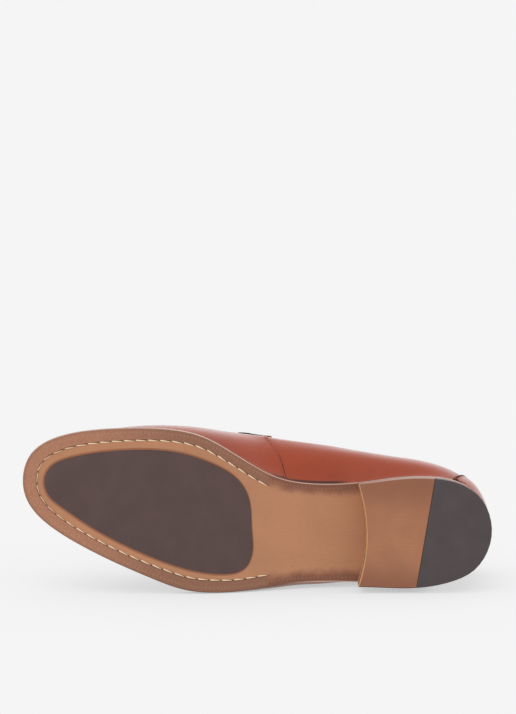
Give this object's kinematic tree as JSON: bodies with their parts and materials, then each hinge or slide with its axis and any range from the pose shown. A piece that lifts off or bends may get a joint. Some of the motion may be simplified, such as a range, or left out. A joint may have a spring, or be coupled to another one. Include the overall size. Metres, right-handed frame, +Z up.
{
  "type": "bit loafer",
  "caption": "Leather bit loafer for the right foot, empty, lying on its outer side: welted leather sole with inlaid rubber, stacked heel, metal bit over the instep.",
  "frame": {"origin": "on the floor under the middle of the shoe's box", "axes": "+Z up; +X from toe to heel along the shoe's length; -Y the way the sole faces, +Y the way the collar opens"},
  "size_m": [0.305, 0.096, 0.1077],
  "materials": {
    "upper_leather": "polished smooth calf, cognac",
    "welt_leather": "burnished edge",
    "sole_leather": "satin, burnished at the edge",
    "heel_leather": "satin, stacked lifts",
    "insole_leather": "matt",
    "sole_rubber": "matt",
    "bit_metal": "polished"
  },
  "bodies": {
    "root": {"upper": "upper_leather", "counter": "upper_leather", "strap": "upper_leather", "keeper_inner": "upper_leather", "keeper_outer": "upper_leather", "bit": "bit_metal", "insole": "insole_leather", "welt": "welt_leather", "outsole": "sole_leather", "forefoot_pad": "sole_rubber", "heel_stack": "heel_leather", "heel_top_leather": "heel_leather", "heel_top_rubber": "sole_rubber"}
  },
  "joints": []
}
